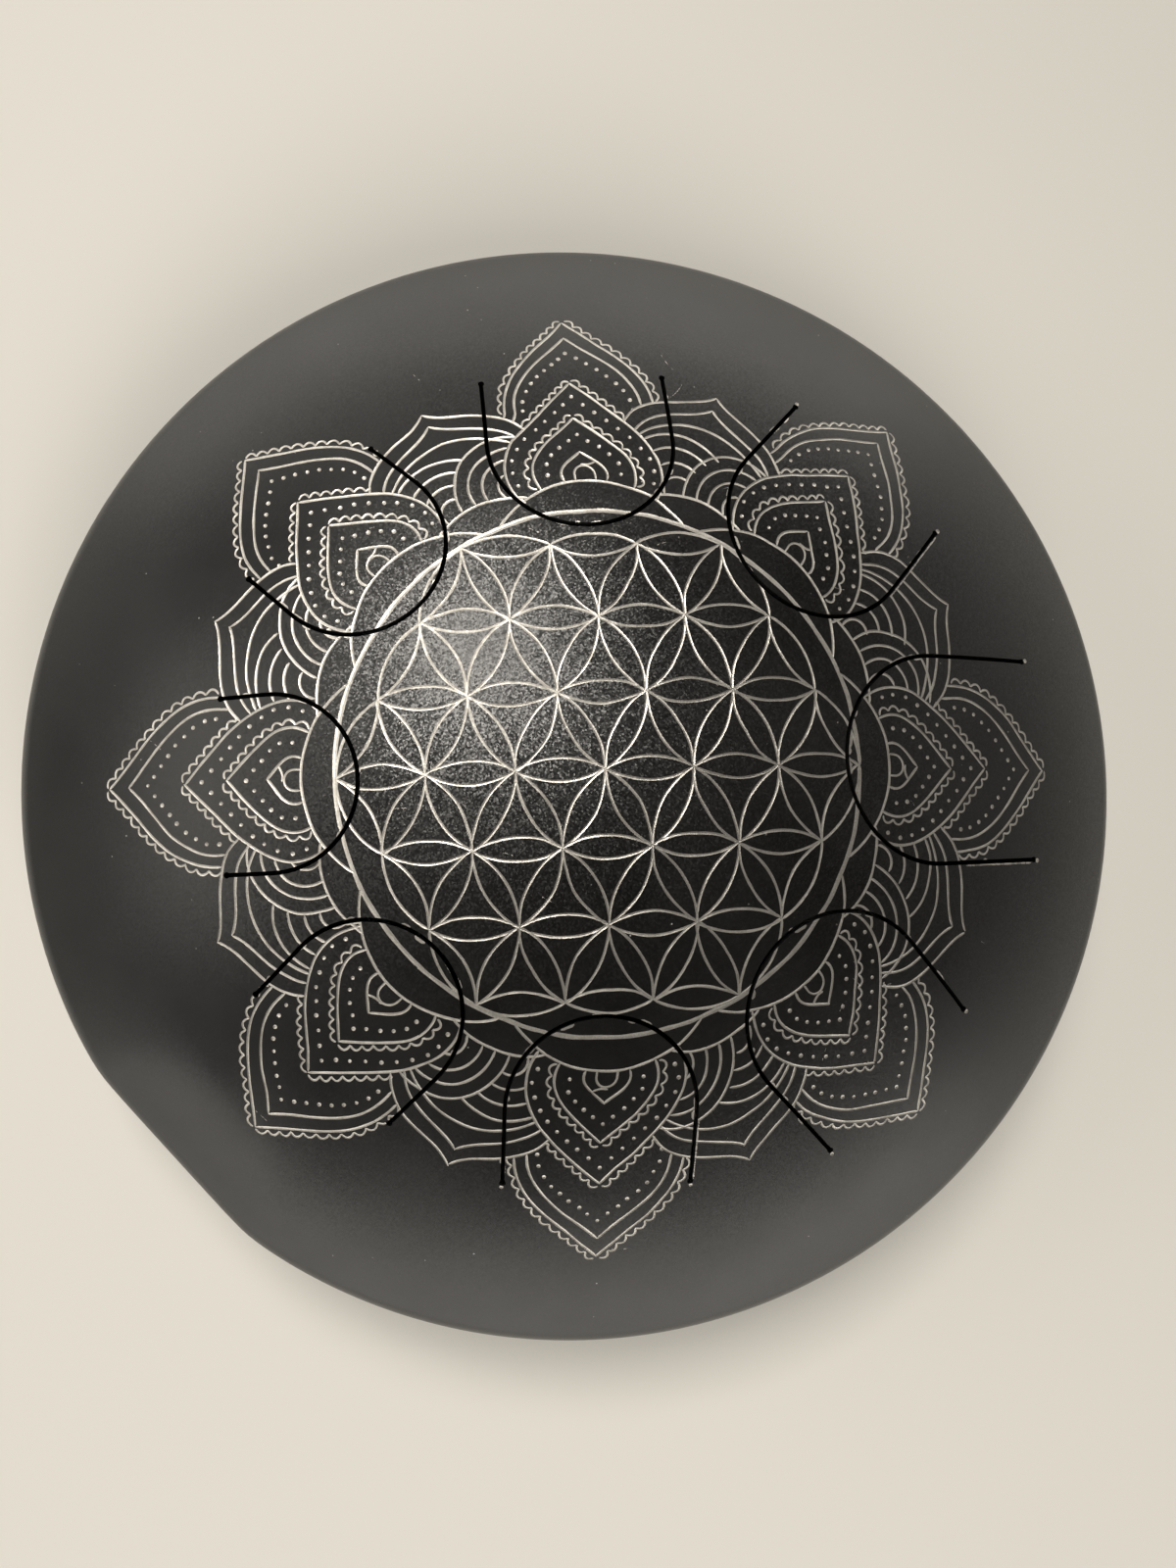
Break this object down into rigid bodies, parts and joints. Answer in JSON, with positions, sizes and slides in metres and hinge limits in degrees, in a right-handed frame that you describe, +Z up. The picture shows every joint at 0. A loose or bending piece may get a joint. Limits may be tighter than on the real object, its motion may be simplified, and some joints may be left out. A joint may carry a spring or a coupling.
{
  "type": "steel tongue drum",
  "caption": "Lens-shaped black steel tongue drum in handpan form, with sprung note tongues in a domed top, a sound port below and rubber feet.",
  "frame": {"origin": "on the floor under the centre of the drum, level with the soles of the feet", "axes": "+Z up along the drum's axis; +X nearly along the longest tongue, towards its root"},
  "size_m": [0.3212, 0.3212, 0.1161],
  "materials": {
    "black_coat": "fine-grained satin black coat",
    "weld_coat": "coated weld bead",
    "foot_rubber": "matt moulded rubber",
    "zinc": "bright zinc plate"
  },
  "bodies": {
    "drum": {"upper_shell": "black_coat", "lower_shell": "black_coat", "seam_weld": "weld_coat", "foot_1": "foot_rubber", "foot_2": "foot_rubber", "foot_3": "foot_rubber", "foot_4": "foot_rubber", "foot_screws": "zinc", "foot_washers": "zinc", "foot_nuts": "zinc"},
    "tongue_1": {"tongue_1": "black_coat"},
    "tongue_2": {"tongue_2": "black_coat"},
    "tongue_3": {"tongue_3": "black_coat"},
    "tongue_4": {"tongue_4": "black_coat"},
    "tongue_5": {"tongue_5": "black_coat"},
    "tongue_6": {"tongue_6": "black_coat"},
    "tongue_7": {"tongue_7": "black_coat"},
    "tongue_8": {"tongue_8": "black_coat"}
  },
  "joints": [
    {"name": "tongue_1_flex", "type": "hinge", "parent": "drum", "child": "tongue_1", "pos_m": [0.12341, 0.00187, 0.08411], "axis": [-0.0087, 1, 0], "range_deg": [-0.8, 0.8], "stiffness_Nm_per_rad": 7.5},
    {"name": "tongue_2_flex", "type": "hinge", "parent": "drum", "child": "tongue_2", "pos_m": [0.08091, -0.08378, 0.08768], "axis": [0.7278, 0.6858, 0], "range_deg": [-0.8, 0.8], "stiffness_Nm_per_rad": 5},
    {"name": "tongue_3_flex", "type": "hinge", "parent": "drum", "child": "tongue_3", "pos_m": [0.07942, 0.08265, 0.08859], "axis": [-0.723, 0.6909, 0], "range_deg": [-0.8, 0.8], "stiffness_Nm_per_rad": 4},
    {"name": "tongue_4_flex", "type": "hinge", "parent": "drum", "child": "tongue_4", "pos_m": [-0.00235, -0.10636, 0.0924], "axis": [0.9995, -0.0332, 0], "range_deg": [-0.8, 0.8], "stiffness_Nm_per_rad": 2.5},
    {"name": "tongue_5_flex", "type": "hinge", "parent": "drum", "child": "tongue_5", "pos_m": [-0.00139, 0.10699, 0.09215], "axis": [-0.9997, -0.0244, 0], "range_deg": [-0.8, 0.8], "stiffness_Nm_per_rad": 2.5},
    {"name": "tongue_6_flex", "type": "hinge", "parent": "drum", "child": "tongue_6", "pos_m": [-0.07267, -0.07129, 0.09438], "axis": [0.6984, -0.7157, 0], "range_deg": [-0.8, 0.8], "stiffness_Nm_per_rad": 2},
    {"name": "tongue_7_flex", "type": "hinge", "parent": "drum", "child": "tongue_7", "pos_m": [-0.07222, 0.07121, 0.09456], "axis": [-0.6921, -0.7218, 0], "range_deg": [-0.8, 0.8], "stiffness_Nm_per_rad": 1.5},
    {"name": "tongue_8_flex", "type": "hinge", "parent": "drum", "child": "tongue_8", "pos_m": [-0.09601, -0.00039, 0.09674], "axis": [0.0122, -0.9999, 0], "range_deg": [-0.8, 0.8], "stiffness_Nm_per_rad": 1}
  ]
}
